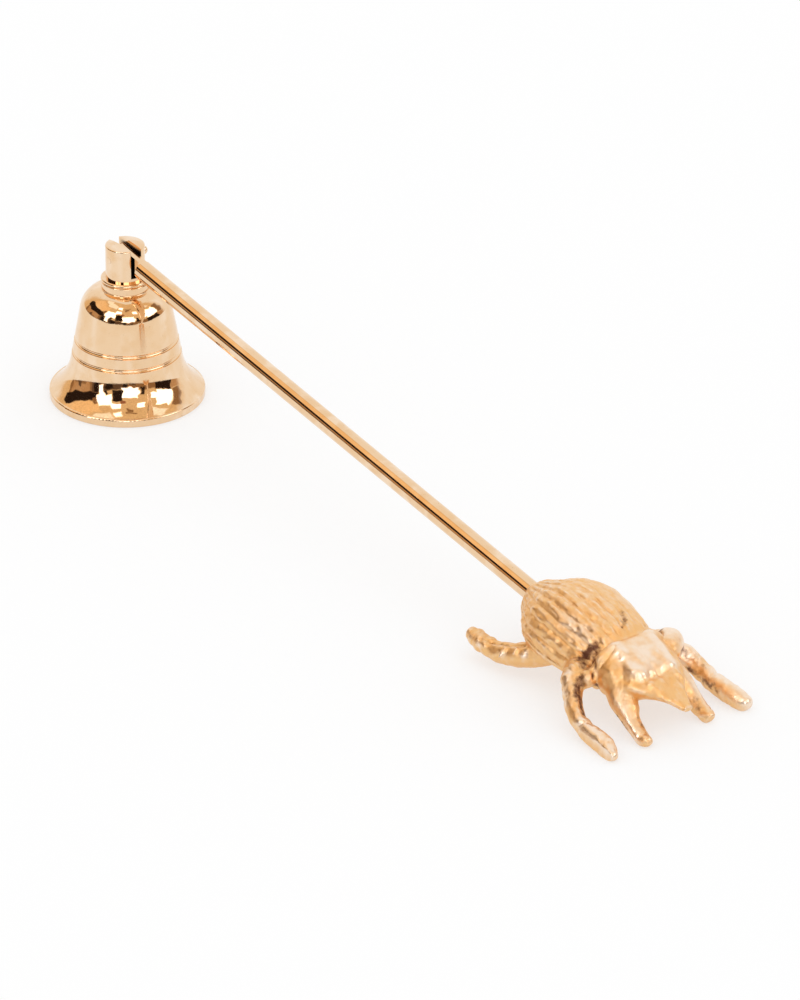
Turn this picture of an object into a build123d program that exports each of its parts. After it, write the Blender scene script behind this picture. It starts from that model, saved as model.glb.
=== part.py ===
from build123d import *
import math
import os

# Candle snuffer: a turned brass bell hangs in a clevis hinge at one end of a round rod,
# and a cast brass beetle at the other end is the grip. Sizes are in millimetres and degrees.
# It stands as it is laid down, bell rim and beetle feet on one floor, with +X from bell to beetle.

# Bell
RIM_RADIUS = 20.0
RIM_BAND_HEIGHT = 2.3
RIM_FACE_WIDTH = 2.0
RIM_STEP = 0.5
RIM_ROUND = 0.45
WAIST_RADIUS = 14.4
WAIST_HEIGHT = 10.5
SHOULDER_RADIUS = 11.8
SHOULDER_HEIGHT = 25.0
DOME_HEIGHT = 5.4
BOSS_INSET = 0.05
BOSS_LENGTH = 2.1
BOSS_FOOT_ROUND = 0.25
BOSS_EDGE_ROUND = 0.3
BELL_WALL = 1.3
CROWN_THICKNESS = 4.2
CEILING_MARGIN = 1.1
GROOVE_HEIGHTS = (12.9, 16.5)
GROOVE_RADIUS = 0.55

# Bead ring between the bell and the clevis
COLLAR_LIP = 1.3
COLLAR_HEIGHT = 1.0

# Clevis post with its stud
POST_RADIUS = 5.05
POST_LENGTH = 9.3
POST_DOME_HEIGHT = 0.5
POST_EDGE_ROUND = 0.35
PIVOT_ABOVE_POST_FOOT = 5.6
SLOT_SIDE_GAP = 0.55
SLOT_FLOOR_GAP = 0.3
STUD_RADIUS = 2.0
STUD_END_BEYOND_NUT = 0.8

# Nut and washer inside the bell
WASHER_RADIUS = 4.5
WASHER_THICKNESS = 0.8
NUT_ACROSS_FLATS = 7.0
NUT_HEIGHT = 3.2
NUT_CORNER_CUT = 0.4

# Hinge pin
PIN_RADIUS = 0.8
PIN_HEAD_RADIUS = 1.2
PIN_HEAD_HEIGHT = 1.9

# Rod
ROD_RADIUS = 2.5
ROD_LENGTH = 170.7
TANG_THICKNESS = 2.0
TANG_SHOULDER_GAP = 2.7
TANG_TAIL = 1.5
SPIGOT_RADIUS = 2.0
SPIGOT_LENGTH = 9.0

# Fits
FIXED_FIT = 0.02
RUNNING_FIT = 0.05
BLIND_HOLE_SPARE = 0.5

# Beetle casting
BEETLE_REAR_HEIGHT = 13.6
REAR_LIP = 0.5
RIB_COUNT = 18
RIB_DEPTH_RATIO = 0.045
WING_CASE_SQUARENESS = 2.35
WING_CASE_EDGE_DROP_RATIO = 0.15
# Wing case sections: distance from the rear, half width, height over the rod line, depth under it
WING_CASE_SECTIONS = (
    (3.0, 4.9, 4.2, 4.6),
    (7.0, 8.8, 7.4, 6.0),
    (14.0, 13.0, 11.1, 6.8),
    (22.0, 13.4, 11.9, 6.4),
    (30.0, 12.1, 11.2, 5.6),
    (36.0, 9.8, 9.6, 4.6),
)
# Thorax and head sections: distance from the rear, half width, top and underside over the rod line
HEAD_SECTIONS = (
    (33.0, 6.0, 7.6, -3.0),
    (36.0, 8.0, 9.0, -3.6),
    (38.2, 10.6, 10.3, -4.6),
    (41.5, 10.8, 10.0, -4.0),
    (46.0, 9.6, 8.6, -1.0),
    (50.5, 6.6, 7.0, 1.4),
    (54.0, 4.2, 6.0, 2.6),
    (57.2, 2.6, 5.3, 3.0),
    (60.6, 1.3, 4.7, 3.3),
)
# Limb stations: distance forward of the rear, sideways, height over the floor, limb radius
FORE_LEG = (
    (41.0, 5.6, 10.0, 3.4),
    (45.6, 8.3, 7.6, 3.0),
    (50.5, 9.2, 3.9, 2.1),
    (57.2, 9.8, 1.0, 1.6),
)
MID_LEG = (
    (30.0, 9.0, 8.8, 2.8),
    (34.4, 14.4, 9.3, 2.9),
    (38.6, 17.7, 6.2, 2.3),
    (45.0, 19.3, 3.2, 2.2),
    (57.6, 20.6, 1.0, 1.6),
)
HIND_LEG = (
    (19.0, 5.5, 7.6, 2.9),
    (11.0, 12.4, 5.4, 3.0),
    (4.8, 14.5, 4.4, 2.5),
    (-1.0, 15.0, 4.6, 1.9),
    (-4.8, 15.0, 5.3, 1.2),
)

# Radii that follow from one another
COLLAR_RADIUS = POST_RADIUS + COLLAR_LIP
BOSS_RADIUS = COLLAR_RADIUS - BOSS_INSET
CEILING_RADIUS = WASHER_RADIUS + CEILING_MARGIN
STUD_HOLE_RADIUS = STUD_RADIUS + RUNNING_FIT
PIN_HEAD_SPOT_RADIUS = PIN_HEAD_RADIUS + RUNNING_FIT
PIN_HEAD_SEAT = math.sqrt(POST_RADIUS**2 - PIN_HEAD_SPOT_RADIUS**2)

# Tang and slot
TANG_REACH = TANG_TAIL + ROD_RADIUS
TANG_SHOULDER = POST_RADIUS + TANG_SHOULDER_GAP
SLOT_WIDTH = TANG_THICKNESS + 2 * SLOT_SIDE_GAP

# Heights up the bell's axis, and the rod's line in the standing snuffer
BOSS_FOOT = SHOULDER_HEIGHT + DOME_HEIGHT
BOSS_TOP = BOSS_FOOT + BOSS_LENGTH
POST_FOOT = BOSS_TOP + COLLAR_HEIGHT
PIVOT_HEIGHT = POST_FOOT + PIVOT_ABOVE_POST_FOOT
SLOT_FLOOR = PIVOT_HEIGHT - TANG_REACH - SLOT_FLOOR_GAP
CEILING_HEIGHT = BOSS_TOP - CROWN_THICKNESS
NUT_TOP = CEILING_HEIGHT - WASHER_THICKNESS
STUD_END = NUT_TOP - NUT_HEIGHT - STUD_END_BEYOND_NUT
ROD_SLOPE = math.degrees(math.asin((PIVOT_HEIGHT - BEETLE_REAR_HEIGHT) / ROD_LENGTH))
HANDLE_PLACE = Location((0, 0, PIVOT_HEIGHT), (0, ROD_SLOPE, 0))
BEETLE_REAR = (HANDLE_PLACE * Pos(ROD_LENGTH, 0, 0)).position
HINGE_PLACE = Pos(0, 0, PIVOT_HEIGHT)


def turned(*lines):
    """Solid of revolution about the bell's axis; outline points are (radius, height)."""
    return revolve(Plane.XZ * make_face(lines), Axis.Z)


def bar_along_y(radius, start, end):
    """Round bar on the Y axis."""
    return extrude(Plane(origin=(0, start, 0), z_dir=(0, 1, 0)) * Circle(radius), end - start)


def bar_along_x(radius, start, end):
    """Round bar on the X axis."""
    return extrude(Plane(origin=(start, 0, 0), z_dir=(1, 0, 0)) * Circle(radius), end - start)


def make_bell():
    """Hollow bell: rim band, flared skirt, tapered wall, domed shoulder and a boss on its crown."""
    waist = Vector(WAIST_RADIUS, WAIST_HEIGHT)
    shoulder = Vector(SHOULDER_RADIUS, SHOULDER_HEIGHT)
    wall_shift = Vector(BELL_WALL, 0)
    down_wall = waist - shoulder
    band_top = (RIM_RADIUS, RIM_BAND_HEIGHT)
    flare_top = (RIM_RADIUS - RIM_STEP, RIM_BAND_HEIGHT)
    rim_inside = (RIM_RADIUS - RIM_FACE_WIDTH, 0)
    outside = [
        Line((RIM_RADIUS, 0), band_top),
        Line(band_top, flare_top),
        TangentArc(waist, flare_top, tangent=down_wall),
        Line(waist, shoulder),
        TangentArc(shoulder, (BOSS_RADIUS, BOSS_FOOT), tangent=-down_wall),
        Line((BOSS_RADIUS, BOSS_FOOT), (BOSS_RADIUS, BOSS_TOP)),
        Line((BOSS_RADIUS, BOSS_TOP), (STUD_HOLE_RADIUS, BOSS_TOP)),
    ]
    inside = [
        Line((STUD_HOLE_RADIUS, BOSS_TOP), (STUD_HOLE_RADIUS, CEILING_HEIGHT)),
        Line((STUD_HOLE_RADIUS, CEILING_HEIGHT), (CEILING_RADIUS, CEILING_HEIGHT)),
        TangentArc(shoulder - wall_shift, (CEILING_RADIUS, CEILING_HEIGHT), tangent=-down_wall),
        Line(shoulder - wall_shift, waist - wall_shift),
        TangentArc(waist - wall_shift, rim_inside, tangent=down_wall),
        Line(rim_inside, (RIM_RADIUS, 0)),
    ]
    bell = turned(*outside, *inside)
    circles = bell.edges().filter_by(GeomType.CIRCLE)
    rim_edges = [edge for edge in circles if edge.radius > RIM_RADIUS - RIM_STEP / 2]
    bell = fillet(rim_edges, RIM_ROUND)
    boss_edges = bell.edges().filter_by(GeomType.CIRCLE).group_by(Axis.Z)[-1]
    bell = fillet(boss_edges.sort_by(SortBy.RADIUS)[-1], BOSS_EDGE_ROUND)
    foot_circles = bell.edges().filter_by(GeomType.CIRCLE).filter_by_position(Axis.Z, BOSS_FOOT, BOSS_FOOT)
    bell = fillet(foot_circles.sort_by(SortBy.RADIUS)[-1], BOSS_FOOT_ROUND)
    wall_taper = (WAIST_RADIUS - SHOULDER_RADIUS) / (SHOULDER_HEIGHT - WAIST_HEIGHT)
    for height in GROOVE_HEIGHTS:
        wall_radius = WAIST_RADIUS - wall_taper * (height - WAIST_HEIGHT)
        bell -= Pos(0, 0, height) * Torus(wall_radius, GROOVE_RADIUS)
    return bell


def make_collar_ring():
    """Bead ring with a half-round outer edge."""
    bead = COLLAR_HEIGHT / 2
    bead_centre = COLLAR_RADIUS - bead
    lower = (bead_centre, BOSS_TOP)
    middle = (COLLAR_RADIUS, BOSS_TOP + bead)
    upper = (bead_centre, POST_FOOT)
    return turned(
        Line((STUD_HOLE_RADIUS, BOSS_TOP), lower),
        ThreePointArc(lower, middle, upper),
        Line(upper, (STUD_HOLE_RADIUS, POST_FOOT)),
        Line((STUD_HOLE_RADIUS, POST_FOOT), (STUD_HOLE_RADIUS, BOSS_TOP)),
    )


def make_clevis():
    """Slotted post with a domed top, a cross hole for the pin and a stud down through the bell."""
    top = POST_FOOT + POST_LENGTH
    wall_top = top - POST_DOME_HEIGHT
    dome_radius = (POST_RADIUS**2 + POST_DOME_HEIGHT**2) / (2 * POST_DOME_HEIGHT)
    half_way = POST_RADIUS / 2
    dome_mid = top - dome_radius + math.sqrt(dome_radius**2 - half_way**2)
    post = turned(
        Line((0, STUD_END), (STUD_RADIUS, STUD_END)),
        Line((STUD_RADIUS, STUD_END), (STUD_RADIUS, POST_FOOT)),
        Line((STUD_RADIUS, POST_FOOT), (POST_RADIUS, POST_FOOT)),
        Line((POST_RADIUS, POST_FOOT), (POST_RADIUS, wall_top)),
        ThreePointArc((POST_RADIUS, wall_top), (half_way, dome_mid), (0, top)),
        Line((0, top), (0, STUD_END)),
    )
    rim = post.edges().filter_by(GeomType.CIRCLE).filter_by_position(Axis.Z, wall_top, wall_top)
    post = fillet(rim, POST_EDGE_ROUND)
    slot = Pos(0, 0, SLOT_FLOOR) * Box(
        2 * POST_RADIUS, SLOT_WIDTH, POST_LENGTH, align=(Align.CENTER, Align.CENTER, Align.MIN)
    )
    pin_hole = bar_along_y(PIN_RADIUS + FIXED_FIT, -POST_RADIUS, POST_RADIUS)
    head_spot = bar_along_y(PIN_HEAD_SPOT_RADIUS, PIN_HEAD_SEAT, POST_RADIUS)
    return post - slot - HINGE_PLACE * (pin_hole + head_spot)


def make_crown_washer():
    """Flat washer under the nut."""
    ring = Circle(WASHER_RADIUS) - Circle(STUD_HOLE_RADIUS)
    return extrude(Pos(0, 0, NUT_TOP) * ring, WASHER_THICKNESS)


def make_crown_nut():
    """Hexagon nut on the clevis stud, with its lower corners turned off."""
    bottom = NUT_TOP - NUT_HEIGHT
    hexagon = RegularPolygon(NUT_ACROSS_FLATS / 2, 6, major_radius=False)
    nut = extrude(Pos(0, 0, bottom) * (hexagon - Circle(STUD_RADIUS + FIXED_FIT)), NUT_HEIGHT)
    corner_radius = NUT_ACROSS_FLATS / math.sqrt(3)
    turned_blank = Pos(0, 0, bottom) * Cylinder(
        corner_radius, NUT_HEIGHT, align=(Align.CENTER, Align.CENTER, Align.MIN)
    )
    blank_edge = turned_blank.edges().filter_by(GeomType.CIRCLE).sort_by(Axis.Z)[0]
    return nut & chamfer(blank_edge, NUT_CORNER_CUT)


def make_pivot_pin():
    """Rivet pin with a domed head on one ear and its other end flush with the other ear."""
    shank = bar_along_y(PIN_RADIUS, -POST_RADIUS, PIN_HEAD_SEAT)
    head_end = PIN_HEAD_SEAT + PIN_HEAD_HEIGHT
    head_ball = Pos(0, head_end - PIN_HEAD_RADIUS, 0) * Sphere(PIN_HEAD_RADIUS)
    head = head_ball & bar_along_y(PIN_HEAD_RADIUS, PIN_HEAD_SEAT, head_end)
    return HINGE_PLACE * (shank + head)


def make_rod():
    """Round rod with a milled tang for the hinge and a spigot for the beetle."""
    bar = bar_along_x(ROD_RADIUS, -TANG_REACH, TANG_SHOULDER)
    flat_length = TANG_SHOULDER + TANG_TAIL
    tang_side = Pos(-TANG_TAIL, 0) * Circle(ROD_RADIUS)
    tang_side += Pos(flat_length / 2 - TANG_TAIL, 0) * Rectangle(flat_length, 2 * ROD_RADIUS)
    tang_side -= Circle(PIN_RADIUS + RUNNING_FIT)
    tang = bar & extrude(Plane.XZ * tang_side, TANG_THICKNESS / 2, both=True)
    shank = bar_along_x(ROD_RADIUS, TANG_SHOULDER, ROD_LENGTH)
    spigot = bar_along_x(SPIGOT_RADIUS, ROD_LENGTH, ROD_LENGTH + SPIGOT_LENGTH)
    return HANDLE_PLACE * (tang + shank + spigot)


def section_plane(along, height=0):
    """Plane square to the rod's line, a distance past the beetle's rear."""
    return Plane(origin=(ROD_LENGTH + along, 0, height), x_dir=(0, 1, 0), z_dir=(1, 0, 0))


def wing_case_section(along, half_width, height, depth):
    """Ribbed arch over a plain belly arc."""
    power = 2 / WING_CASE_SQUARENESS
    edge = -WING_CASE_EDGE_DROP_RATIO * half_width

    def arch_point(turn, scale):
        across = math.cos(turn)
        side = math.copysign(abs(across) ** power, across)
        return (half_width * scale * side, edge + (height - edge) * scale * math.sin(turn) ** power)

    valley = 1 - RIB_DEPTH_RATIO
    step = math.pi / RIB_COUNT
    left = (-half_width * valley, edge)
    right = (half_width * valley, edge)
    valleys = [arch_point(step * index, valley) for index in range(1, RIB_COUNT)]
    corners = [right] + valleys + [left]
    arcs = []
    for index in range(RIB_COUNT):
        crest = arch_point(step * (index + 0.5), 1)
        arcs.append(ThreePointArc(corners[index], crest, corners[index + 1]))
    arcs.append(ThreePointArc(left, (0, -depth), right))
    return section_plane(along) * make_face(arcs)


def make_wing_case():
    """Ribbed rear body, swelling from a lip round the rod."""
    lip = ROD_RADIUS + REAR_LIP
    sections = [wing_case_section(0, lip, lip, lip)]
    sections += [wing_case_section(*row) for row in WING_CASE_SECTIONS]
    return loft(sections)


def make_head():
    """Thorax with its raised rear collar, drawn out to a narrow snout."""
    sections = []
    for along, half_width, top, underside in HEAD_SECTIONS:
        middle = (top + underside) / 2
        sections.append(section_plane(along, middle) * Ellipse(half_width, (top - underside) / 2))
    return loft(sections)


def make_limb(stations):
    """Tapered limb on the far side, through round sections along its bent line."""
    points = [Vector(BEETLE_REAR.X + row[0], row[1], row[2]) for row in stations]
    last = len(points) - 1
    sections = []
    for index, point in enumerate(points):
        along = points[min(index + 1, last)] - points[max(index - 1, 0)]
        level = Vector(0, 0, 1).cross(along)
        sections.append(Plane(origin=point, x_dir=level, z_dir=along) * Circle(stations[index][3]))
    return loft(sections)


def make_beetle():
    """One casting: wing case, head and three pairs of legs, with a blind hole for the rod's spigot."""
    hole_end = ROD_LENGTH + SPIGOT_LENGTH + BLIND_HOLE_SPARE
    hole = bar_along_x(SPIGOT_RADIUS + FIXED_FIT, ROD_LENGTH, hole_end)
    beetle = HANDLE_PLACE * (make_wing_case() + make_head() - hole)
    for stations in (FORE_LEG, MID_LEG, HIND_LEG):
        limb = make_limb(stations)
        beetle += [limb, mirror(limb, about=Plane.XZ)]
    return split(beetle, Plane.XY, keep=Keep.TOP)


pieces = {
    "bell": make_bell(),
    "collar_ring": make_collar_ring(),
    "clevis": make_clevis(),
    "crown_washer": make_crown_washer(),
    "crown_nut": make_crown_nut(),
    "pivot_pin": make_pivot_pin(),
    "rod": make_rod(),
    "beetle": make_beetle(),
}

# The origin is on the floor, half way along the snuffer, which is symmetric in Y.
reach = pieces["beetle"].bounding_box().max.X
overall_length = reach + RIM_RADIUS
TO_ORIGIN = Pos(RIM_RADIUS - overall_length / 2, 0, 0)

os.makedirs("parts", exist_ok=True)
for name, piece in pieces.items():
    placed = TO_ORIGIN * piece
    placed.label = name
    export_step(placed, f"parts/{name}.step")
pivot = (TO_ORIGIN * HINGE_PLACE).position
print(f"pivot at {pivot.X:.3f}, {pivot.Y:.3f}, {pivot.Z:.3f}, rod slope {ROD_SLOPE:.3f}")
print(f"overall length {overall_length:.2f}")
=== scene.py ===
import math

import bmesh
import bpy
import numpy as np
from mathutils import Matrix, Vector, noise


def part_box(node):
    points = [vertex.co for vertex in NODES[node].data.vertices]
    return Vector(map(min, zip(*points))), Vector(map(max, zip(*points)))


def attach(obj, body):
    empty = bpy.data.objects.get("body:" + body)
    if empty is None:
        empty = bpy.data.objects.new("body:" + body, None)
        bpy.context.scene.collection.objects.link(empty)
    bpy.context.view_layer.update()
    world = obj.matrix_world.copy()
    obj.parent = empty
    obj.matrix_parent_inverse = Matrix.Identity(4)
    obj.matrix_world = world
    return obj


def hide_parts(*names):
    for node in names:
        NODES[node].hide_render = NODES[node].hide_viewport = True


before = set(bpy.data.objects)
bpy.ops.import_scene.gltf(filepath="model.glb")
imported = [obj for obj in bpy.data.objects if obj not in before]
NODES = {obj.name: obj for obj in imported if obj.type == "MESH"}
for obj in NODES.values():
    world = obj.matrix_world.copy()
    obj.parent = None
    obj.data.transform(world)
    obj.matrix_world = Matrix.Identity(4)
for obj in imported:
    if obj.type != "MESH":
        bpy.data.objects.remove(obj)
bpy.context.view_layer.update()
MM = 0.001
WHITE = (1.0, 1.0, 1.0)

# Camera: where it looks, from which side in degrees, and how far away
CAMERA_TARGET = Vector((15.8, -3.7, 20.0)) * MM
CAMERA_AZIMUTH = 52.8
CAMERA_ELEVATION = 27.4
CAMERA_DISTANCE = 1956 * MM
CAMERA_LENS = 288.0

# Floor and soft light: the floor's half width in metres, its shade, and the share that is always white
FLOOR_HALF = 3.0
FLOOR_ALBEDO = 0.99
FLOOR_OWN_WHITE = 0.58
WORLD_LEVEL = 1.0

# Room that polished metal mirrors: soft, wandering edges in degrees, and grain; noises are scale, detail
ROOM_SOFTNESS = 1.6
ROOM_WARP = 7.0
ROOM_WARP_NOISE = (4.0, 0.6)
ROOM_GRAIN_NOISE = (34.0, 4.0)
ROOM_GRAIN_SPREAD = (0.25, 0.75)
ROOM_GRAIN = (0.75, 1.25)

# Walls of the room: colour, degrees to the right of the camera, degrees up from the floor, soft edges
WALL_COLOR = (0.85, 0.63, 0.38)
WALL_TURN = (-134, 111)
WALL_RISE = (-6, 130)
WALL_TURN_SOFTNESS = 16
WALL_RISE_SOFTNESS = 6

# Colours in the room
DARK = (0.022, 0.012, 0.008)
DUSK = (0.13, 0.08, 0.05)
BROWN = (0.30, 0.17, 0.08)
TAN = (0.55, 0.33, 0.17)
AMBER = (1.05, 0.74, 0.42)
RUST = (0.36, 0.15, 0.08)
PALE = (1.25, 1.2, 1.1)
WINDOW = (2.8, 2.8, 3.0)

# Patches of light and dark on the walls: from turn, to turn, from rise, to rise, colour
ROOM_PATCHES = (
    (-122, -58, 33, 57, AMBER),
    (-130, -42, 61, 73, PALE),
    (-66, 57, -9, 12, BROWN),
    (-118, -66, -9, 22, BROWN),
    (-112, -74, 3, 17, TAN),
    (-98, -90, -4, 9, DUSK),
    (-121, -54, 18, 35, DARK),
    (-68, -49, -9, 20, DUSK),
    (-62, -53, -9, 17, DARK),
    (-68, -57, 33, 42, BROWN),
    (-57, -30, 25, 48, WINDOW),
    (-51, -42, 6, 26, WINDOW),
    (-41, -36, 4, 23, DARK),
    (-33, -13, 45, 56, WINDOW),
    (-41, -8, -9, 14, DUSK),
    (-40, -25, -7, 10, DARK),
    (-28, -8, 15, 38, DARK),
    (-13, -2, 38, 45, RUST),
    (-7, 2, -9, 9, DARK),
    (6, 18, -8, 4, DUSK),
    (-8, 23, 8, 31, WINDOW),
    (21, 38, 43, 52, WINDOW),
    (25, 34, 4, 23, DARK),
    (22, 30, -9, 6, BROWN),
    (48, 60, 22, 31, WINDOW),
    (59, 90, 16, 45, WINDOW),
    (57, 88, 52, 65, PALE),
    (55, 90, -9, 15, DARK),
    (92, 109, 13, 42, BROWN),
    (90, 109, -2, 12, TAN),
    (-36, -14, 63, 71, WINDOW),
    (-1, 14, 57, 63, BROWN),
    (-4, 25, 64, 67, BROWN),
)

# Colours of the metals
POLISHED_COLOR = (0.86, 0.61, 0.38)
POLISHED_PALE = (0.91, 0.70, 0.50)
POLISHED_WARM = (0.84, 0.57, 0.33)
SPECK_COLOR = (0.45, 0.26, 0.13)
CAST_COLOR = (0.90, 0.56, 0.25)
# The rubbed colour also paints a highlight on the beetle's tops and ridges
RUBBED_AND_HIGHLIGHT_COLOR = (0.95, 0.78, 0.62)
PLAIN_COLOR = (0.72, 0.50, 0.24)
# The patina colour also paints shade on the shadowed sides of the legs
PATINA_AND_SHADE_COLOR = (0.19, 0.085, 0.052)
# Black painted shade inside the clevis slot
SLOT_SHADE_COLOR = (0.03, 0.016, 0.011)

# Noises in the metals: scale, detail
SMEAR_NOISE = (260, 5.0)
SPECK_NOISE = (1300, 2.0)
STREAK_NOISE = (170, 2.0)
TOOLED_NOISE = (900, 4.0)
BLOTCH_NOISE = (520, 4.0)
SMUDGE_NOISE = (800, 2.0)
PIT_NOISE = (1900, 3.0)

# Fine relief of the metals: strength, depth in millimetres
POLISHED_RELIEF = (0.05, 0.05)
PLAIN_RELIEF = (0.15, 0.03)
CAST_RELIEF = (0.15, 0.12)

# Polished brass: the noise from none to full of each mark, and how rough the haze is
STREAK_STRETCH = (1, 1, 0.05)
STREAK_SPREAD = (0.46, 0.66)
SMEAR_SPREAD = (0.45, 0.70)
SPECK_SPREAD = (0.70, 0.78)
SPECK_DEPTH = (0, 0.5)
SPECK_HEIGHT = 0.04
HAZE_SPREAD = (0.35, 0.75)
POLISHED_ROUGHNESS = (0.035, 0.10)

# Plain brass: its dull patches, its roughness and its tool marks
DULL_SHARE = 0.7
DULL_SPREAD = (0.4, 0.7)
PLAIN_SPREAD = (0.3, 0.7)
PLAIN_ROUGHNESS = (0.22, 0.4)
MARK_SCALE = 900
MARK_WANDER = 2

# Cast brass: how far the noises carry the rubbed places with their painted highlight, the patina with its
# painted shade, and the roughness
CAST_SPREAD = (0.3, 0.7)
BLOTCH_RUB_AND_HIGHLIGHT = (-0.2, 0.2)
SMUDGE_PATINA_AND_SHADE = (-0.25, 0.25)
PATINA_SHADE_SPREAD = (0.2, 0.95)
CAST_ROUGHNESS = (0.45, 0.35)
SMUDGE_ROUGHNESS = (-0.07, 0.07)
PATINA_SHADE_ROUGHNESS = 0.2

# Clevis slot, with black painted shade inside, in millimetres: half its width, its floor, and where the
# painted shade fades out
SLOT_HALF_WIDTH = 1.55
SLOT_WALL_FADE = (0.12, 0.02)
SLOT_FLOOR = 34.8
SLOT_FLOOR_FADE = (-0.2, -0.05)
SLOT_SHADE_TOP = (42.2, 41.4)
SLOT_SHADE_BACK = (-109.3, -107.3)
SLOT_SHADE_ROUGHNESS = 0.4

# Beetle, in millimetres: where the rod enters it, and the rod's fall in degrees
REAR_X = 64.08
REAR_Z = 13.6
REAR = np.array((REAR_X, 0, 0))
ROD_SLOPE = math.radians(8.591)

# Even mesh of the casting: size of its cells, and divisions of what is melted into it
VOXEL = 0.24
BALL_DIVISIONS = 3
SPUR_SEGMENTS = 16

# Sides of the beetle
NEAR = (-1,)
FAR = (1,)
BOTH = (-1, 1)

# The head and the front legs lean a little to one side
LEAN = -0.8
LEAN_START = 26
LEAN_LENGTH = 24

# Extra lumps: sides, forward of the rear, sideways, height, radius
LUMPS = (
    (FAR, 36.2, 13.0, 11.4, 3.8),
    (FAR, 34.8, 10.8, 11.6, 2.6),
    (FAR, 38.6, 10.8, 11.6, 3.4),
    (NEAR, 37.0, 12.5, 10.4, 2.4),
    (NEAR, 35.2, 11.4, 9.6, 2.6),
    (NEAR, 57.4, 20.5, 1.6, 1.5),
    (NEAR, 57.0, 9.8, 1.6, 1.5),
    (FAR, 56.4, 20.5, 1.7, 1.6),
    (FAR, 56.2, 9.8, 1.6, 1.5),
    (BOTH, -4.4, 15.0, 5.3, 1.5),
    (BOTH, -2.6, 15.0, 5.0, 2.0),
    (BOTH, -0.4, 15.0, 4.7, 2.4),
    (BOTH, 1.8, 14.9, 4.6, 2.5),
)

# Rolled rim round the thorax: place along the rod's line, half width, middle height, half height
RIM_PLACE = (37.0, 10.0, 2.8, 7.3)
RIM_TURNS = (-25, 78)
RIM_TAPER = (35, 90)
RIM_BEADS = 40
RIM_RADIUS = 1.45

# Teeth on the hind legs: forward, sideways, height, length
SPURS = (
    (0.8, 15.5, 6.5, 1.8),
    (8.6, 14.8, 7.1, 3.4),
    (11.6, 13.8, 7.7, 1.7),
    (14.2, 12.5, 8.4, 2.5),
)
SPUR_RADIUS = 0.75
SPUR_TIP = 0.2
SPUR_DROP = Vector((0.0, 0.80, -0.60))

# Places that are rubbed smooth: forward, sideways, height, reach
SOFT_SPOTS = (
    (45.0, 8.6, 8.6, 5.5),
    (32.0, 12.5, 10.0, 4.5),
    (14.0, 9.5, 7.0, 6.0),
    (36.2, 13.0, 11.4, 5.5),
    (36.6, 0.0, 17.5, 5.0),
    (57.5, 9.8, 1.5, 2.6),
    (58.0, 20.6, 1.5, 3.0),
    (54.0, 20.4, 2.5, 4.0),
    (49.5, 19.8, 3.5, 4.0),
)
SOFT_CORE = 0.5

# Smoothing: its weight, and its times all over, on the soft spots, under the ribs and to find hollows
EVEN_WEIGHT = 0.5
EVEN_TIMES = 3
SOFT_TIMES = 36
RELIEF_TIMES = 70
HOLLOW_TIMES = 12

# Regions of the beetle: where each fades in or out along, over, round or beside the rod's line
CASE_REAR = (2, 6)
CASE_FRONT = (33, 36)
CASE_UNDERSIDE = (-2, 0.5)
FAR_TURN = (75, 115)
HEAD_REAR = (38, 41)
HEAD_FRONT = (54, 58)
HEAD_UNDERSIDE = (3.5, 6.5)
LEGS_BELOW = (2, 4)
LEGS_BESIDE = (14.5, 16.5)

# Ribs of the wing case: degrees apart, height, roundness, and what is left or lost on the far side
RIB_STEP = 13.0
RIB_HEIGHT = 0.50
RIB_ROUNDNESS = 0.8
RIB_FAR_SHARE = 0.40
BEAD_FAR_LOSS = 0.4

# The rear end is blunt: place along the rod's line, length, height, and where the swelling starts and ends
REAR_SWELL = (3.0, 2.0, 1.0)
SWELL_BORE = (2.7, 3.6)
SWELL_GIRTH = (10, 13)
SWELL_FACE = (0.2, 1.2)

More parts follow.
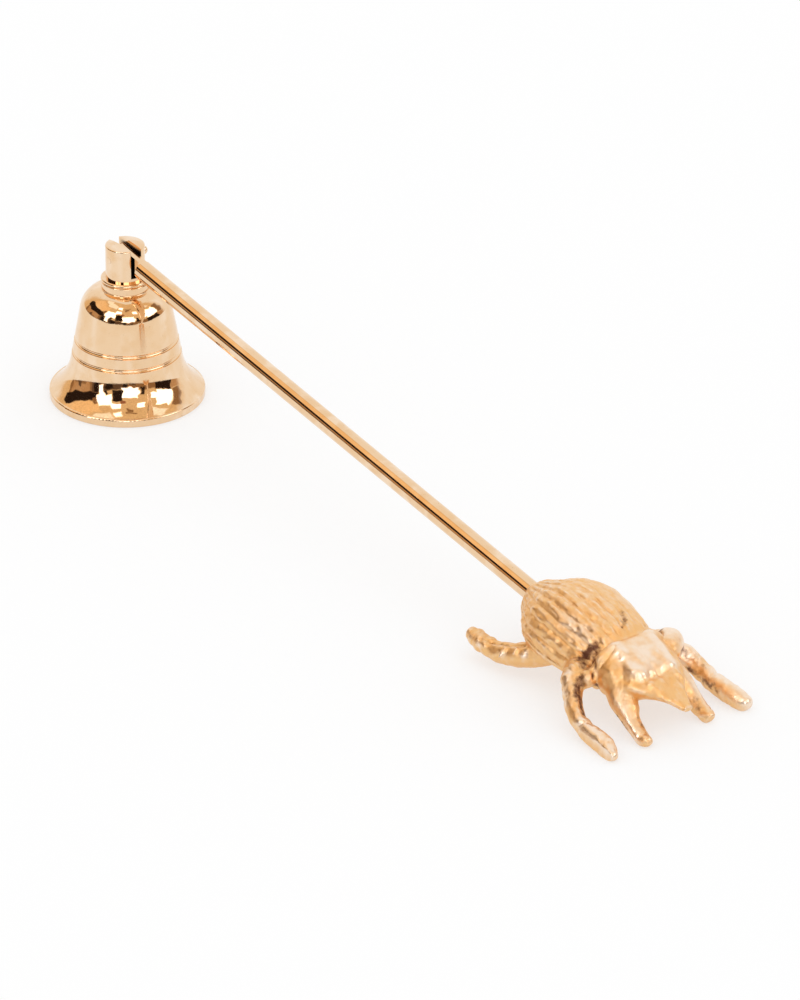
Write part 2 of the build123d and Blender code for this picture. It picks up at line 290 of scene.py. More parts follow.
# Tooled lines and swellings: sides, points forward, sideways and up, then width and height
STROKES = (
    (BOTH, ((38.8, 5.0, 17.0), (42.0, 5.6, 16.4), (46.4, 5.2, 14.6), (50.5, 4.2, 12.7)), 1.5, 0.75),
    (BOTH, ((41.0, 8.8, 13.6), (44.5, 8.4, 12.0)), 2.6, -0.20),
    (BOTH, ((42.0, 1.6, 17.4), (47.0, 1.4, 15.6)), 1.4, -0.35),
    (BOTH, ((50.2, 0.0, 14.0), (49.6, 3.0, 13.4), (49.0, 5.4, 12.4)), 1.0, -0.55),
    (BOTH, ((45.0, 2.4, 16.2), (47.0, 2.8, 15.2)), 1.8, 0.45),
    (BOTH, ((32.6, 10.8, 12.6), (33.4, 9.4, 14.8), (34.2, 7.4, 16.4)), 1.2, -0.40),
    (BOTH, ((35.1, 9.6, 13.6), (35.6, 9.9, 11.6), (37.0, 10.8, 10.0)), 0.7, -0.45),
    (BOTH, ((37.0, 14.3, 10.9), (38.6, 15.4, 9.4), (40.2, 16.7, 7.6), (43.0, 17.9, 5.4)), 1.1, -0.40),
    (BOTH, ((36.4, 19.6, 6.4), (37.5, 18.8, 8.2), (38.6, 16.8, 8.6)), 0.5, -0.35),
    (BOTH, ((45.0, 21.2, 3.2), (45.8, 20.6, 4.8), (46.6, 18.9, 5.2)), 0.5, -0.35),
    (BOTH, ((0.8, 15.9, 6.3), (7.2, 14.2, 7.3), (12.5, 12.6, 8.6)), 0.6, -0.45),
    (BOTH, ((45.0, 10.4, 9.0), (48.0, 10.8, 7.4), (51.7, 10.8, 4.5), (54.5, 11.1, 2.4)), 0.9, 0.25),
    (FAR, ((30.0, 3.4, 20.2), (32.0, 2.6, 19.9), (34.1, 0.7, 19.2)), 0.8, -0.45),
    (BOTH, ((-5.2, 15.0, 5.4), (-3.0, 15.0, 5.2)), 2.4, 0.60),
    (FAR, ((39.0, 18.0, 8.0), (46.0, 19.6, 5.0), (57.0, 20.6, 2.4)), 2.2, 0.65),
    (FAR, ((34.2, 10.4, 14.2), (35.6, 10.4, 14.2), (37.4, 9.8, 13.6)), 1.0, -0.80),
    (NEAR, ((34.9, 8.4, 15.2), (36.4, 9.8, 14.6), (37.8, 10.9, 13.8), (38.9, 12.0, 11.2)), 0.6, -0.35),
    (NEAR, ((39.0, 18.0, 8.0), (45.0, 19.6, 5.0)), 2.0, 0.25),
    (BOTH, ((46.0, 5.5, 8.5), (49.0, 6.6, 6.4)), 2.0, 0.8),
    (BOTH, ((41.0, 10.0, 8.4), (45.5, 11.0, 6.4)), 2.0, 0.5),
    (BOTH, ((53.0, 9.6, 3.2), (56.5, 9.8, 1.6)), 2.0, 0.25),
)

# Patina left in the crevices, and painted shade along the shadowed sides of the legs: sides, points, width,
# depth of colour
PATINA_AND_SHADE_STROKES = (
    (NEAR, ((33.4, 12.4, 9.4), (32.4, 10.9, 12.2), (33.3, 9.4, 14.6), (34.0, 7.6, 16.2)), 1.7, 0.90),
    (FAR, ((32.4, 10.9, 12.2), (33.3, 9.4, 14.6), (34.0, 7.6, 16.2)), 1.2, 0.35),
    (BOTH, ((35.1, 9.2, 14.0), (35.7, 9.4, 11.6), (37.2, 10.4, 10.0), (38.6, 10.4, 8.0)), 0.8, 0.85),
    (NEAR, ((37.0, 14.3, 10.9), (38.6, 15.4, 9.4), (40.2, 16.7, 7.6), (43.0, 17.9, 5.4)), 1.5, 0.80),
    (FAR, ((37.0, 14.3, 10.9), (38.6, 15.4, 9.4), (40.2, 16.7, 7.6), (43.0, 17.9, 5.4)), 1.5, 0.45),
    (BOTH, ((36.5, 10.6, 11.5), (38.2, 11.0, 9.3), (39.5, 10.9, 7.4)), 1.2, 0.95),
    (BOTH, ((43.0, 11.6, 7.4), (46.0, 11.6, 5.8), (50.0, 11.5, 3.4), (54.0, 11.6, 1.4)), 0.8, 0.55),
    (BOTH, ((0.8, 15.9, 6.3), (7.2, 14.2, 7.3), (12.5, 12.6, 8.6)), 0.6, 0.42),
    (FAR, ((30.0, 3.4, 20.2), (32.0, 2.6, 19.9), (34.1, 0.7, 19.2)), 1.0, 0.55),
    (FAR, ((34.0, 10.0, 14.6), (35.2, 10.8, 14.3)), 1.5, 0.85),
    (NEAR, ((34.9, 8.4, 15.2), (36.4, 9.8, 14.6), (37.8, 10.9, 13.8), (38.9, 12.0, 11.2)), 0.7, 0.75),
    (NEAR, ((33.6, 10.4, 14.2), (34.5, 11.8, 12.7)), 1.5, 0.75),
    (NEAR, ((36.6, 15.0, 10.8), (38.0, 16.6, 9.8), (39.6, 17.6, 8.2)), 0.9, 0.75),
    (FAR, ((40.6, 15.6, 5.2), (45.0, 16.9, 4.2), (49.5, 16.8, 3.2)), 1.2, 0.75),
    (BOTH, ((52.2, 8.5, 5.0), (54.2, 8.5, 3.4)), 0.9, 0.45),
)

# Places rubbed pale, with a painted highlight on the tops: sides, points, width, strength
RUB_AND_HIGHLIGHT_STROKES = (
    (BOTH, ((39.0, 4.8, 17.2), (42.5, 5.2, 16.6), (46.4, 4.6, 14.8), (48.0, 4.2, 14.2)), 2.2, 1.0),
    (BOTH, ((42.0, 1.0, 17.6), (47.0, 1.0, 15.6)), 3.4, 0.90),
    (BOTH, ((8.0, 2.0, 20.0), (20.0, 3.0, 22.0), (30.0, 2.0, 20.5)), 5.0, 0.15),
    (FAR, ((36.0, 13.0, 14.5), (38.5, 16.5, 9.5)), 3.6, 1.0),
    (FAR, ((12.0, 9.0, 19.0), (26.0, 9.5, 19.0)), 4.0, 0.45),
    (NEAR, ((24.0, 8.5, 19.0), (30.0, 8.0, 17.5)), 2.2, 0.7),
    (BOTH, ((45.5, 20.2, 5.4), (50.0, 20.4, 4.6), (57.0, 20.8, 2.8)), 2.2, 1.0),
    (BOTH, ((46.5, 9.6, 9.0), (52.0, 10.6, 4.6), (55.0, 10.8, 2.2)), 1.4, 0.8),
    (BOTH, ((0.8, 17.3, 5.2), (0.8, 17.5, 5.0)), 0.8, 1.0),
    (BOTH, ((8.6, 16.4, 6.0), (8.6, 16.8, 5.6)), 0.9, 1.0),
    (BOTH, ((14.2, 13.6, 7.6), (14.2, 14.0, 7.2)), 0.8, 1.0),
    (BOTH, ((33.6, 15.4, 12.0), (36.0, 17.6, 9.0), (38.5, 19.4, 6.6)), 1.2, 0.9),
)

# Unevenness of the casting: length along the body, length across it, height
RIB_BEADS = (2.4, 1.2, 0.34)
RIB_STREAKS = (4.0, 0.6, 0.12)
HEAD_DENTS = (4.0, 3.0, 1.0)
LEG_DENTS = (2.2, 2.2, 0.30)
HAMMERING = (1.5, 1.5, 0.11)
GRAIN = (0.7, 0.7, 0.04)

# Wandering of the ribs: length along the body, length across it, share of a rib, and where its noise starts
RIB_WANDER = (12, 4, 0.20)
RIB_WANDER_START = 3.0

# One radian round the body counts as this length
TURN_LENGTH = 10

# Hollows hold patina and ridges are rubbed pale with a painted highlight: from none to full in millimetres,
# and by how much
HOLLOW_DEPTH = (0.08, 0.30)
HOLLOW_PATINA = 0.6
RIDGE_HEIGHT = (0.01, 0.16)
RIDGE_RUB_AND_HIGHLIGHT = 0.8


def link(tree, source, target):
    """Joins an output socket to an input socket."""
    tree.links.new(source, target)


def add_node(tree, kind, **settings):
    """A node with its properties set."""
    made = tree.nodes.new(kind)
    for name, value in settings.items():
        setattr(made, name, value)
    return made


def math_node(tree, operation, first, second=None):
    """A math node's output; each argument is a socket or a number."""
    made = add_node(tree, "ShaderNodeMath", operation=operation)
    for socket, value in zip(made.inputs, (first, second)):
        if value is None:
            continue
        if isinstance(value, (int, float)):
            socket.default_value = value
        else:
            link(tree, value, socket)
    return made.outputs[0]


def map_range(tree, value, source, target=(0, 1), smooth=False):
    """A value carried from one range to another."""
    kind = "SMOOTHSTEP" if smooth else "LINEAR"
    made = add_node(tree, "ShaderNodeMapRange", interpolation_type=kind)
    link(tree, value, made.inputs["Value"])
    made.inputs["From Min"].default_value = source[0]
    made.inputs["From Max"].default_value = source[1]
    made.inputs["To Min"].default_value = target[0]
    made.inputs["To Max"].default_value = target[1]
    return made.outputs["Result"]


def band(tree, value, low, high, softness):
    """1 where the value lies between low and high, with soft edges."""
    middle = (low + high) / 2
    half = (high - low) / 2
    away = math_node(tree, "ABSOLUTE", math_node(tree, "SUBTRACT", value, middle))
    return map_range(tree, away, (half + softness / 2, half - softness / 2), smooth=True)


def mix_color(tree, factor, first, second):
    """A colour mix's output; each colour is a socket or three numbers."""
    made = add_node(tree, "ShaderNodeMix", data_type="RGBA")
    link(tree, factor, made.inputs["Factor"])
    for name, value in (("A", first), ("B", second)):
        socket = [s for s in made.inputs if s.name == name and s.type == "RGBA"][0]
        if isinstance(value, tuple):
            socket.default_value = (*value, 1)
        else:
            link(tree, value, socket)
    return [s for s in made.outputs if s.type == "RGBA"][0]


def noise_node(tree, vector, scale_and_detail):
    """A noise texture."""
    made = add_node(tree, "ShaderNodeTexNoise")
    link(tree, vector, made.inputs["Vector"])
    scale, detail = scale_and_detail
    made.inputs["Scale"].default_value = scale
    made.inputs["Detail"].default_value = detail
    return made


def room_angles(tree, direction):
    """A direction's turn to the right of the camera and its rise from the floor, in wandering degrees."""
    angle = math.radians(CAMERA_AZIMUTH)
    towards = (math.sin(angle), -math.cos(angle), 0)
    right = (math.cos(angle), math.sin(angle), 0)
    parts = []
    for axis in (right, towards, (0, 0, 1)):
        dot = add_node(tree, "ShaderNodeVectorMath", operation="DOT_PRODUCT")
        link(tree, direction, dot.inputs[0])
        dot.inputs[1].default_value = axis
        parts.append(dot.outputs["Value"])
    wander = add_node(tree, "ShaderNodeSeparateColor")
    link(tree, noise_node(tree, direction, ROOM_WARP_NOISE).outputs["Color"], wander.inputs[0])
    turn = math_node(tree, "DEGREES", math_node(tree, "ARCTAN2", parts[0], parts[1]))
    rise = math_node(tree, "DEGREES", math_node(tree, "ARCSINE", parts[2]))
    reach = (-ROOM_WARP, ROOM_WARP)
    turn = math_node(tree, "ADD", turn, map_range(tree, wander.outputs[0], (0, 1), reach))
    rise = math_node(tree, "ADD", rise, map_range(tree, wander.outputs[1], (0, 1), reach))
    return turn, rise


def make_world():
    """White all round for the camera and soft light, and a room with windows for polished metal."""
    world = bpy.data.worlds.new("studio")
    bpy.context.scene.world = world
    world.use_nodes = True
    tree = world.node_tree
    tree.nodes.clear()
    direction = add_node(tree, "ShaderNodeTexCoord").outputs["Generated"]
    turn, rise = room_angles(tree, direction)
    color = WALL_COLOR
    for low_turn, high_turn, low_rise, high_rise, patch in ROOM_PATCHES:
        inside = math_node(
            tree,
            "MULTIPLY",
            band(tree, turn, low_turn, high_turn, ROOM_SOFTNESS),
            band(tree, rise, low_rise, high_rise, ROOM_SOFTNESS),
        )
        color = mix_color(tree, inside, color, patch)
    grain = noise_node(tree, direction, ROOM_GRAIN_NOISE).outputs["Fac"]
    grain = map_range(tree, grain, ROOM_GRAIN_SPREAD, ROOM_GRAIN)
    shaded = add_node(tree, "ShaderNodeVectorMath", operation="SCALE")
    link(tree, color, shaded.inputs[0])
    link(tree, grain, shaded.inputs["Scale"])
    wall = math_node(
        tree,
        "MULTIPLY",
        band(tree, turn, *WALL_TURN, WALL_TURN_SOFTNESS),
        band(tree, rise, *WALL_RISE, WALL_RISE_SOFTNESS),
    )
    color = mix_color(tree, wall, WHITE, shaded.outputs["Vector"])
    path = add_node(tree, "ShaderNodeLightPath")
    seen = mix_color(tree, path.outputs["Is Glossy Ray"], WHITE, color)
    background = add_node(tree, "ShaderNodeBackground")
    background.inputs["Strength"].default_value = WORLD_LEVEL
    link(tree, seen, background.inputs["Color"])
    link(tree, background.outputs[0], add_node(tree, "ShaderNodeOutputWorld").inputs[0])


def make_floor():
    """Pale floor that is white to the camera and keeps the snuffer's shadow."""
    bpy.ops.mesh.primitive_plane_add(size=2 * FLOOR_HALF, location=(0, 0, 0))
    floor = bpy.context.object
    floor.name = "floor"
    material = bpy.data.materials.new("floor")
    material.use_nodes = True
    tree = material.node_tree
    tree.nodes.clear()
    matt = add_node(tree, "ShaderNodeBsdfDiffuse")
    matt.inputs["Color"].default_value = (FLOOR_ALBEDO, FLOOR_ALBEDO, FLOOR_ALBEDO, 1)
    white = add_node(tree, "ShaderNodeEmission")
    path = add_node(tree, "ShaderNodeLightPath")
    seen = math_node(tree, "MAXIMUM", path.outputs["Is Camera Ray"], path.outputs["Is Glossy Ray"])
    share = math_node(tree, "MULTIPLY", seen, FLOOR_OWN_WHITE)
    mix = add_node(tree, "ShaderNodeMixShader")
    link(tree, share, mix.inputs[0])
    link(tree, matt.outputs[0], mix.inputs[1])
    link(tree, white.outputs[0], mix.inputs[2])
    link(tree, mix.outputs[0], add_node(tree, "ShaderNodeOutputMaterial").inputs[0])
    floor.data.materials.append(material)


def new_metal(name):
    """An empty metal material: its node tree, its shader and the object coordinates."""
    material = bpy.data.materials.new(name)
    material.use_nodes = True
    tree = material.node_tree
    shader = tree.nodes["Principled BSDF"]
    shader.inputs["Metallic"].default_value = 1
    place = add_node(tree, "ShaderNodeTexCoord").outputs["Object"]
    return material, tree, shader, place


def roughen(tree, shader, height, relief):
    """Fine relief from a height value."""
    strength, depth = relief
    bump = add_node(tree, "ShaderNodeBump")
    bump.inputs["Strength"].default_value = strength
    bump.inputs["Distance"].default_value = depth * MM
    link(tree, height, bump.inputs["Height"])
    link(tree, bump.outputs["Normal"], shader.inputs["Normal"])


def painted_slot_shade(tree, place):
    """1 on the walls and floor of the clevis slot, where black shade is painted."""
    spot = add_node(tree, "ShaderNodeSeparateXYZ")
    link(tree, place, spot.inputs[0])
    across = math_node(tree, "ABSOLUTE", spot.outputs["Y"])
    slot_shade_mask = 1
    for value, limits in (
        (across, [SLOT_HALF_WIDTH + fade for fade in SLOT_WALL_FADE]),
        (spot.outputs["Z"], [SLOT_FLOOR + fade for fade in SLOT_FLOOR_FADE]),
        (spot.outputs["Z"], SLOT_SHADE_TOP),
        (spot.outputs["X"], SLOT_SHADE_BACK),
    ):
        mask = map_range(tree, value, [limit * MM for limit in limits])
        slot_shade_mask = math_node(tree, "MULTIPLY", slot_shade_mask, mask)
    return slot_shade_mask


def polished_brass(name, slot=False):
    """Mirror brass with faint smears and buffing haze; the clevis has black painted shade inside its slot.
    """
    material, tree, shader, place = new_metal(name)
    smear = noise_node(tree, place, SMEAR_NOISE).outputs["Fac"]
    speck = noise_node(tree, place, SPECK_NOISE).outputs["Fac"]
    upright = add_node(tree, "ShaderNodeVectorMath", operation="MULTIPLY")
    link(tree, place, upright.inputs[0])
    upright.inputs[1].default_value = STREAK_STRETCH
    streak = noise_node(tree, upright.outputs["Vector"], STREAK_NOISE).outputs["Fac"]
    pale = map_range(tree, streak, STREAK_SPREAD, smooth=True)
    color = mix_color(tree, pale, POLISHED_COLOR, POLISHED_PALE)
    color = mix_color(tree, map_range(tree, smear, SMEAR_SPREAD), color, POLISHED_WARM)
    color = mix_color(tree, map_range(tree, speck, SPECK_SPREAD, SPECK_DEPTH), color, SPECK_COLOR)
    rough = map_range(tree, smear, HAZE_SPREAD, POLISHED_ROUGHNESS)
    if slot:
        # Black painted shade on the slot's walls and floor, which is also rougher there
        slot_shade_mask = painted_slot_shade(tree, place)
        color = mix_color(tree, slot_shade_mask, color, SLOT_SHADE_COLOR)
        rough = math_node(tree, "ADD", rough, math_node(tree, "MULTIPLY", slot_shade_mask, SLOT_SHADE_ROUGHNESS))
    link(tree, color, shader.inputs["Base Color"])
    link(tree, rough, shader.inputs["Roughness"])
    height = math_node(tree, "ADD", smear, math_node(tree, "MULTIPLY", speck, SPECK_HEIGHT))
    roughen(tree, shader, height, POLISHED_RELIEF)
    return material


def plain_brass(name):
    """Machined brass with tool marks."""
    material, tree, shader, place = new_metal(name)
    patch = noise_node(tree, place, TOOLED_NOISE).outputs["Fac"]
    dull = tuple(value * DULL_SHARE for value in PLAIN_COLOR)
    color = mix_color(tree, map_range(tree, patch, DULL_SPREAD), PLAIN_COLOR, dull)
    link(tree, color, shader.inputs["Base Color"])
    link(tree, map_range(tree, patch, PLAIN_SPREAD, PLAIN_ROUGHNESS), shader.inputs["Roughness"])
    marks = add_node(tree, "ShaderNodeTexWave", bands_direction="Z")
    link(tree, place, marks.inputs["Vector"])
    marks.inputs["Scale"].default_value = MARK_SCALE
    marks.inputs["Distortion"].default_value = MARK_WANDER
    roughen(tree, shader, marks.outputs["Fac"], PLAIN_RELIEF)
    return material


def cast_brass(name):
    """Hand-polished casting: golden, rubbed pale with a painted highlight on its high places, with patina
    in its crevices and painted shade on the shadowed sides of its legs.
    """
    material, tree, shader, place = new_metal(name)
    blotch = noise_node(tree, place, BLOTCH_NOISE).outputs["Fac"]
    smudge = noise_node(tree, place, SMUDGE_NOISE).outputs["Fac"]
    pits = noise_node(tree, place, PIT_NOISE).outputs["Fac"]
    rub_and_highlight = add_node(tree, "ShaderNodeAttribute", attribute_name="rub_and_highlight").outputs["Fac"]
    rub_and_highlight = math_node(tree, "ADD", rub_and_highlight, map_range(tree, blotch, CAST_SPREAD, BLOTCH_RUB_AND_HIGHLIGHT))
    rub_and_highlight = map_range(tree, rub_and_highlight, (0, 1))
    # Pale rubbed places also carry a painted highlight
    color = mix_color(tree, rub_and_highlight, CAST_COLOR, RUBBED_AND_HIGHLIGHT_COLOR)
    patina_and_shade = add_node(tree, "ShaderNodeAttribute", attribute_name="patina_and_shade").outputs["Fac"]
    ragged = math_node(tree, "ADD", patina_and_shade, map_range(tree, smudge, CAST_SPREAD, SMUDGE_PATINA_AND_SHADE))
    # Patina darkens the crevices, and the same colour paints shade on the legs' shadowed sides
    patina_and_shade_mask = map_range(tree, ragged, PATINA_SHADE_SPREAD, smooth=True)
    link(tree, mix_color(tree, patina_and_shade_mask, color, PATINA_AND_SHADE_COLOR), shader.inputs["Base Color"])
    rough = map_range(tree, rub_and_highlight, (0, 1), CAST_ROUGHNESS)
    rough = math_node(tree, "ADD", rough, map_range(tree, smudge, CAST_SPREAD, SMUDGE_ROUGHNESS))
    rough = math_node(tree, "ADD", rough, math_node(tree, "MULTIPLY", patina_and_shade_mask, PATINA_SHADE_ROUGHNESS))
    link(tree, rough, shader.inputs["Roughness"])
    roughen(tree, shader, pits, CAST_RELIEF)
    return material


def dress(names, material):
    """Gives nodes a material."""
    for name in names:
        slots = NODES[name].data.materials
        slots.clear()
        slots.append(material)


def smoothstep(value, low, high):
    """Rises smoothly from 0 at low to 1 at high."""
    share = np.clip((value - low) / (high - low), 0, 1)
    return share * share * (3 - 2 * share)


def beetle_point(forward, sideways, height):
    """A place on the beetle, given from its rear end and the floor."""
    return Vector((REAR_X + forward, sideways, height)) * MM


def rod_line_point(along, sideways, over):
    """A place on the beetle, given along and over the rod's line."""
    forward = along * math.cos(ROD_SLOPE) + over * math.sin(ROD_SLOPE)
    height = REAR_Z - along * math.sin(ROD_SLOPE) + over * math.cos(ROD_SLOPE)
    return beetle_point(forward, sideways, height)


def add_ball(shape, centre, radius):
    """A ball to be melted into the casting."""
    bmesh.ops.create_icosphere(
        shape,
        subdivisions=BALL_DIVISIONS,
        radius=radius * MM,
        matrix=Matrix.Translation(centre),
    )


def add_rim(shape, side):
    """A row of balls along one side of the rolled rim, smaller towards the top."""
    along, half_width, middle, half_height = RIM_PLACE
    for turn in np.radians(np.linspace(*RIM_TURNS, RIM_BEADS)):
        over = middle + half_height * math.sin(turn)
        radius = RIM_RADIUS * (1 - smoothstep(np.degrees(turn), *RIM_TAPER))
        centre = rod_line_point(along, side * half_width * math.cos(turn), over)
        add_ball(shape, centre, max(radius, VOXEL))


def add_spur(shape, root, drop, length):
    """A pointed tooth that hangs outwards from its root."""
    turn = drop.to_track_quat("Z", "Y").to_matrix().to_4x4()
    middle = Matrix.Translation(root + drop.normalized() * length / 2 * MM)
    bmesh.ops.create_cone(
        shape,
        cap_ends=True,
        segments=SPUR_SEGMENTS,
        radius1=SPUR_RADIUS * MM,
        radius2=SPUR_TIP * MM,
        depth=length * MM,
        matrix=middle @ turn,
    )


def melted_casting():
    """The solid beetle with its lumps, rim and spurs, as one even mesh."""
    shape = bmesh.new()
    shape.from_mesh(NODES["beetle"].data)
    for sides, forward, sideways, height, radius in LUMPS:
        for side in sides:
            add_ball(shape, beetle_point(forward, side * sideways, height), radius)
    for side in BOTH:
        add_rim(shape, side)
        drop = Vector((SPUR_DROP.x, side * SPUR_DROP.y, SPUR_DROP.z))
        for forward, sideways, height, length in SPURS:
            add_spur(shape, beetle_point(forward, side * sideways, height), drop, length)
    mesh = bpy.data.meshes.new("beetle_rough")
    shape.to_mesh(mesh)
    shape.free()
    rough = bpy.data.objects.new("beetle_rough", mesh)
    bpy.context.scene.collection.objects.link(rough)
    melt = rough.modifiers.new("melt", "REMESH")
    melt.mode = "VOXEL"
    melt.voxel_size = VOXEL * MM
    melt.use_smooth_shade = True
    bpy.context.view_layer.update()
    melted = rough.evaluated_get(bpy.context.evaluated_depsgraph_get())
    result = bpy.data.meshes.new_from_object(melted)
    bpy.data.objects.remove(rough)
    bpy.data.meshes.remove(mesh)
    return result


def read_points(mesh):
    """The mesh's points, in millimetres from the beetle's rear."""
    points = np.empty(len(mesh.vertices) * 3)
    mesh.vertices.foreach_get("co", points)
    return points.reshape(-1, 3) / MM - REAR


def write_points(mesh, points):
    """Puts points, in millimetres from the beetle's rear, back into the mesh."""
    mesh.vertices.foreach_set("co", ((points + REAR) * MM).ravel())
    mesh.update()


def read_edges(mesh):
    """Pairs of neighbouring points."""
    edges = np.empty(len(mesh.edges) * 2, int)
    mesh.edges.foreach_get("vertices", edges)
    return edges.reshape(-1, 2)


def normals_at(mesh, points):
    """The mesh's normals once it has these points."""
    write_points(mesh, points)
    normals = np.empty(len(points) * 3)
    mesh.vertices.foreach_get("normal", normals)
    return normals.reshape(-1, 3)


def evened(points, edges, weight, times):
    """Points drawn towards the middle of their neighbours."""
    count = len(points)
    ends = np.concatenate((edges[:, 0], edges[:, 1]))
    others = np.concatenate((edges[:, 1], edges[:, 0]))
    degree = np.maximum(np.bincount(ends, minlength=count), 1)
    for _ in range(times):
        middle = np.empty_like(points)
        for axis in range(3):
            middle[:, axis] = np.bincount(ends, points[others, axis], count) / degree
        points = points + weight[:, None] * (middle - points)
    return points


def softness_at(points):
    """How much each point is rubbed smooth, from 0 to 1."""
    soft = np.zeros(len(points))
    for forward, sideways, height, reach in SOFT_SPOTS:
        for side in BOTH:
            away = np.linalg.norm(points - np.array((forward, side * sideways, height)), axis=1)
            soft = np.maximum(soft, 1 - smoothstep(away, reach * SOFT_CORE, reach))
    return soft


def near_line(points, line, width):
    """1 on a polyline, falling to 0 beside it."""
    nearest = np.full(len(points), np.inf)
    line = np.array(line, float)
    for start, end in zip(line[:-1], line[1:]):
        run = end - start
        share = np.clip((points - start) @ run / (run @ run), 0, 1)
        nearest = np.minimum(nearest, np.linalg.norm(points - start - share[:, None] * run, axis=1))
    return np.exp(-((nearest / width) ** 2))


def stroke_strength(points, strokes, combine):
    """Sum or maximum of strokes over points; each stroke has sides, a line, a width and a strength."""
    total = np.zeros(len(points))
    for sides, line, width, strength in strokes:
        for side in sides:
            placed = [(forward, side * sideways, height) for forward, sideways, height in line]
            total = combine(total, strength * near_line(points, placed, width))
    return total


def unevenness(places, length, width, start):
    """Smooth noise over places, in -1 to 1, with a length along the body and one across it."""
    spread = places / np.array((length, width, width)) + start
    return np.array([noise.noise(Vector(place)) for place in spread])


def rod_line_places(points):
    """Each point's place along the rod's line and over it, its turn round it and its distance from it."""
    rise = points[:, 2] - REAR_Z
    along = points[:, 0] * math.cos(ROD_SLOPE) - rise * math.sin(ROD_SLOPE)
    over = points[:, 0] * math.sin(ROD_SLOPE) + rise * math.cos(ROD_SLOPE)
    turn = np.arctan2(over, -points[:, 1])
    girth = np.hypot(over, points[:, 1])
    return along, over, turn, girth


def wing_case(along, over):
    """1 on the wing case, 0 elsewhere."""
    length = smoothstep(along, *CASE_REAR) * (1 - smoothstep(along, *CASE_FRONT))
    return length * smoothstep(over, *CASE_UNDERSIDE)


def rear_swelling(along, girth):
    """Height that makes the rear end blunt round the rod."""
    place, length, height = REAR_SWELL
    ring = smoothstep(girth, *SWELL_BORE) * (1 - smoothstep(girth, *SWELL_GIRTH))
    ring = ring * smoothstep(along, *SWELL_FACE)
    return height * np.exp(-(((along - place) / length) ** 2)) * ring


def relief_at(points, along, over, turn, girth):
    """Height of the ribs, tooled lines and unevenness at each point."""
    case = wing_case(along, over)
    far = smoothstep(np.degrees(turn), *FAR_TURN)
    head = smoothstep(along, *HEAD_REAR) * (1 - smoothstep(along, *HEAD_FRONT))
    head = head * smoothstep(over, *HEAD_UNDERSIDE)
    legs = np.maximum(smoothstep(-over, *LEGS_BELOW), smoothstep(np.abs(points[:, 1]), *LEGS_BESIDE))
    legs = legs * (1 - head)

    round_body = np.stack((along, turn * TURN_LENGTH, girth), 1)
    length, width, share = RIB_WANDER
    wander = share * unevenness(round_body, length, width, RIB_WANDER_START)
    rib = np.abs(np.sin(math.pi * (np.degrees(turn) / RIB_STEP + wander))) ** RIB_ROUNDNESS
    rise = RIB_HEIGHT * case * rib * (1 + (RIB_FAR_SHARE - 1) * far)
    rise += stroke_strength(points, STROKES, np.add)
    rise += rear_swelling(along, girth)
    for mask, (length, width, height) in (
        (case * (1 - BEAD_FAR_LOSS * far), RIB_BEADS),
        (case, RIB_STREAKS),
        (head, HEAD_DENTS),
        (legs, LEG_DENTS),
        (1, HAMMERING),
        (1, GRAIN),
    ):
        rise += height * mask * unevenness(round_body, length, width, length)
    return rise


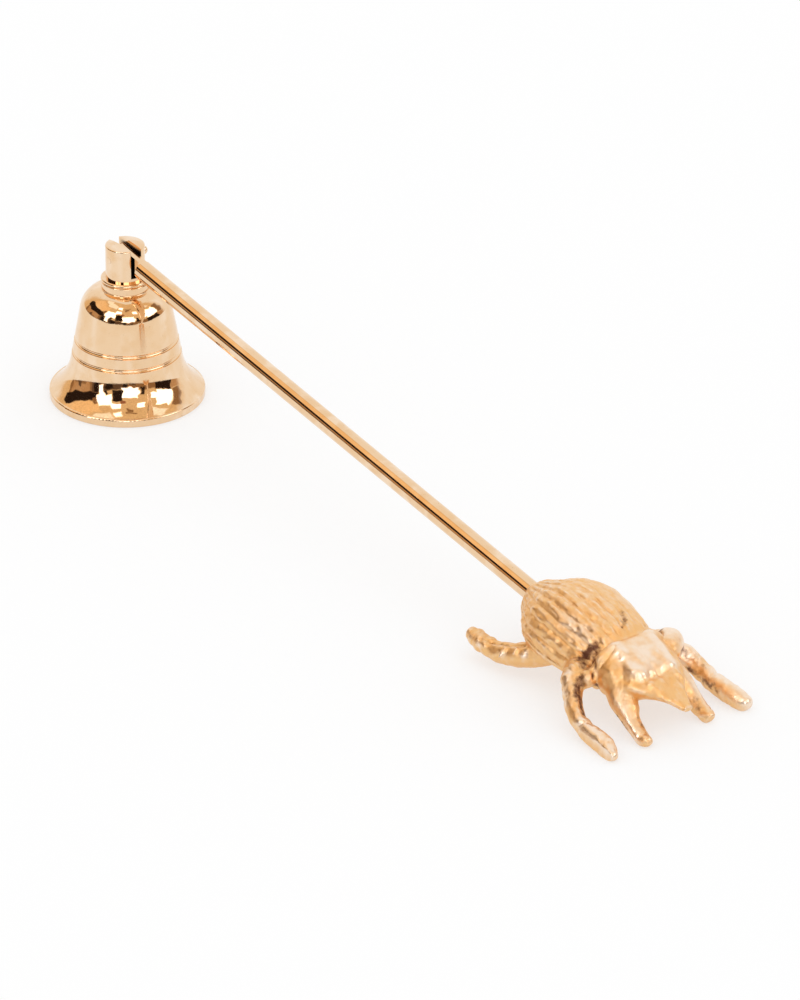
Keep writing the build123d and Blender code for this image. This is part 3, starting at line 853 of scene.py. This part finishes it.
def make_beetle():
    """The casting with soft joints, uneven ribs, tooled lines, cast grain, patina with painted shade, and a
    painted highlight on its rubbed places.
    """
    mesh = melted_casting()
    edges = read_edges(mesh)
    points = read_points(mesh)
    everywhere = np.full(len(points), EVEN_WEIGHT)
    points = evened(points, edges, everywhere, EVEN_TIMES)
    points = evened(points, edges, softness_at(points) * EVEN_WEIGHT, SOFT_TIMES)

    # Ribs, lines and grain rise from a smooth wing case
    along, over, turn, girth = rod_line_places(points)
    points = evened(points, edges, wing_case(along, over) * EVEN_WEIGHT, RELIEF_TIMES)
    # Patina strokes also paint shade on the legs' shadowed sides, and rub strokes also paint highlights
    patina_and_shade = stroke_strength(points, PATINA_AND_SHADE_STROKES, np.maximum)
    rub_and_highlight = stroke_strength(points, RUB_AND_HIGHLIGHT_STROKES, np.maximum)
    rise = relief_at(points, along, over, turn, girth)
    points = points + rise[:, None] * normals_at(mesh, points)

    # Hollows hold patina, and ridges are rubbed pale with a painted highlight
    plain = evened(points, edges, everywhere, HOLLOW_TIMES)
    hollow = ((plain - points) * normals_at(mesh, points)).sum(1)
    patina_and_shade = np.clip(patina_and_shade + smoothstep(hollow, *HOLLOW_DEPTH) * HOLLOW_PATINA, 0, 1)
    rub_and_highlight = np.clip(rub_and_highlight + smoothstep(-hollow, *RIDGE_HEIGHT) * RIDGE_RUB_AND_HIGHLIGHT, 0, 1)

    # The front leans, and nothing passes the beetle's box
    points[:, 1] += LEAN * smoothstep(points[:, 0], LEAN_START, LEAN_START + LEAN_LENGTH)
    low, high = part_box("beetle")
    points = np.clip(points, np.array(low) / MM - REAR, np.array(high) / MM - REAR)
    write_points(mesh, points)
    for name, values in (("patina_and_shade", patina_and_shade), ("rub_and_highlight", rub_and_highlight)):
        mesh.attributes.new(name, "FLOAT", "POINT").data.foreach_set("value", values)
    mesh.materials.clear()
    mesh.materials.append(cast_brass("cast_brass"))
    mesh.polygons.foreach_set("use_smooth", np.ones(len(mesh.polygons), bool))
    piece = bpy.data.objects.new("beetle_cast", mesh)
    bpy.context.scene.collection.objects.link(piece)
    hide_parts("beetle")
    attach(piece, "handle")


def make_camera():
    """Long lens from above, at the photograph's angle."""
    data = bpy.data.cameras.new("camera")
    data.lens = CAMERA_LENS
    camera = bpy.data.objects.new("camera", data)
    bpy.context.scene.collection.objects.link(camera)
    turn = math.radians(CAMERA_AZIMUTH)
    rise = math.radians(CAMERA_ELEVATION)
    back = Vector((math.sin(turn) * math.cos(rise), -math.cos(turn) * math.cos(rise), math.sin(rise)))
    camera.location = CAMERA_TARGET + back * CAMERA_DISTANCE
    camera.rotation_mode = "QUATERNION"
    camera.rotation_quaternion = (-back).to_track_quat("-Z", "Y")
    bpy.context.scene.camera = camera


make_world()
make_floor()
make_camera()
dress(("bell", "collar_ring", "pivot_pin", "rod"), polished_brass("polished_brass"))
dress(("clevis",), polished_brass("clevis_brass", slot=True))
dress(("crown_washer", "crown_nut"), plain_brass("plain_brass"))
make_beetle()
bpy.context.scene.view_settings.view_transform = "Standard"
